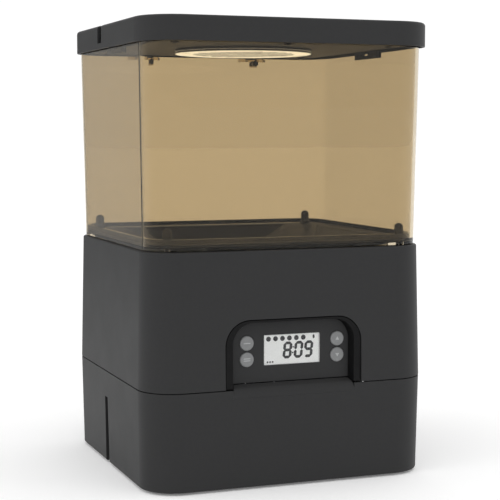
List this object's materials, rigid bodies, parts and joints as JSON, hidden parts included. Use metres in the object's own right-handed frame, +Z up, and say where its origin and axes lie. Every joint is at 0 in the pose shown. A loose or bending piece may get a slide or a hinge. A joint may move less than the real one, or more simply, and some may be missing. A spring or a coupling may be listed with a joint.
{
  "type": "automatic pet feeder",
  "caption": "Timed dry-food dispenser: clear amber hopper with hinged lid on a square rounded body, display panel in front, paddle rotor inside, pull-out bowl in a bay at the back.",
  "frame": {"origin": "bottom centre of the bounding box, on the floor under the feet", "axes": "+Z up, -Y towards the front with the display, +X to the feeder's right as seen from the front"},
  "size_m": [0.2264, 0.2636, 0.34],
  "materials": {
    "charcoal_plastic": "satin moulded ABS",
    "black_plastic": "satin",
    "smoked_amber": "clear tinted, polished",
    "black_rubber": "matte",
    "silicone": "soft matte",
    "pale_cover": "glossy",
    "paper_pack": "matte",
    "grey_button": "satin",
    "clear_window": "polished",
    "lcd_glass": "satin",
    "circuit_board": "solder mask",
    "steel": "brushed",
    "brass": "turned",
    "white_nylon": "satin",
    "cell_sleeve": "printed sleeve"
  },
  "bodies": {
    "body": {"base": "charcoal_plastic", "battery_door": "charcoal_plastic", "housing": "charcoal_plastic", "display_panel": "charcoal_plastic", "hopper_floor": "charcoal_plastic", "rotor_chamber": "charcoal_plastic", "feeding_bay": "charcoal_plastic", "food_chute": "charcoal_plastic", "power_inlet": "black_plastic", "battery_tray": "black_plastic", "display_frame": "black_plastic", "tank_screw_rear_right": "black_plastic", "tank_screw_rear_left": "black_plastic", "tank_screw_front_left": "black_plastic", "tank_screw_front_right": "black_plastic", "outlet_shield": "black_plastic", "motor_bracket": "black_plastic", "hinge_bolt_left": "black_plastic", "hinge_bolt_right": "black_plastic", "foot_rear_right": "black_rubber", "foot_rear_left": "black_rubber", "foot_front_left": "black_rubber", "foot_front_right": "black_rubber", "tank_seal": "black_rubber", "door_screw": "steel", "gear_motor": "steel", "hinge_pin_left": "steel", "hinge_pin_right": "steel", "battery_cell_1": "cell_sleeve", "battery_cell_2": "cell_sleeve", "battery_cell_3": "cell_sleeve", "lcd_window": "clear_window", "lcd_module": "lcd_glass", "button_pad_left": "silicone", "button_pad_right": "silicone", "control_board": "circuit_board", "shaft_bushing": "brass", "tank": "smoked_amber", "hinge_leaf_left": "smoked_amber", "hinge_leaf_right": "smoked_amber"},
    "lid": {"lid_shell": "charcoal_plastic", "lid_liner": "charcoal_plastic", "lid_seal": "black_rubber", "desiccant_cup": "black_plastic", "desiccant_pack": "paper_pack"},
    "left_latch": {"lid_latch_left": "black_plastic"},
    "right_latch": {"lid_latch_right": "black_plastic"},
    "desiccant_cap": {"desiccant_cover": "pale_cover"},
    "rotor": {"portion_rotor": "silicone", "stirrer": "black_plastic", "rotor_shaft": "steel", "drive_gear": "white_nylon"},
    "drive_pinion": {"pinion": "brass", "motor_shaft": "steel"},
    "bowl": {"feeding_bowl": "black_plastic"},
    "insert": {"bowl_insert": "steel"},
    "upper_left_key": {"button_upper_left": "grey_button"},
    "lower_left_key": {"button_lower_left": "grey_button"},
    "upper_right_key": {"button_upper_right": "grey_button"},
    "lower_right_key": {"button_lower_right": "grey_button"}
  },
  "joints": [
    {"name": "lid_hinge", "type": "hinge", "parent": "body", "child": "lid", "pos_m": [0, 0.09225, 0.324], "axis": [-1, 0, 0], "range_deg": [0, 95]},
    {"name": "left_latch_squeeze", "type": "slide", "parent": "lid", "child": "left_latch", "axis": [1, 0, 0], "range_m": [0, 0.0018], "stiffness_N_per_m": 400},
    {"name": "right_latch_squeeze", "type": "slide", "parent": "lid", "child": "right_latch", "axis": [-1, 0, 0], "range_m": [0, 0.0018], "stiffness_N_per_m": 400},
    {"name": "desiccant_cap_twist", "type": "hinge", "parent": "lid", "child": "desiccant_cap", "pos_m": [0, -0.01975, 0.32], "axis": [0, 0, 1], "range_deg": [0, 30]},
    {"name": "rotor_spin", "type": "hinge", "parent": "body", "child": "rotor", "pos_m": [0, -0.01975, 0.13], "axis": [0, 0, 1], "continuous": true},
    {"name": "pinion_spin", "type": "hinge", "parent": "body", "child": "drive_pinion", "pos_m": [0, -0.0524, 0.111], "axis": [0, 0, 1], "continuous": true},
    {"name": "bowl_slide", "type": "slide", "parent": "body", "child": "bowl", "axis": [0, 1, 0], "range_m": [0, 0.09]},
    {"name": "insert_lift", "type": "slide", "parent": "bowl", "child": "insert", "axis": [0, 0, 1], "range_m": [0, 0.03]},
    {"name": "upper_left_press", "type": "slide", "parent": "body", "child": "upper_left_key", "axis": [0, 1, 0], "range_m": [0, 0.001], "stiffness_N_per_m": 300},
    {"name": "lower_left_press", "type": "slide", "parent": "body", "child": "lower_left_key", "axis": [0, 1, 0], "range_m": [0, 0.001], "stiffness_N_per_m": 300},
    {"name": "upper_right_press", "type": "slide", "parent": "body", "child": "upper_right_key", "axis": [0, 1, 0], "range_m": [0, 0.001], "stiffness_N_per_m": 300},
    {"name": "lower_right_press", "type": "slide", "parent": "body", "child": "lower_right_key", "axis": [0, 1, 0], "range_m": [0, 0.001], "stiffness_N_per_m": 300}
  ],
  "couplings": [
    {"joint": "pinion_spin", "follows": "rotor_spin", "ratio": -2.25}
  ]
}
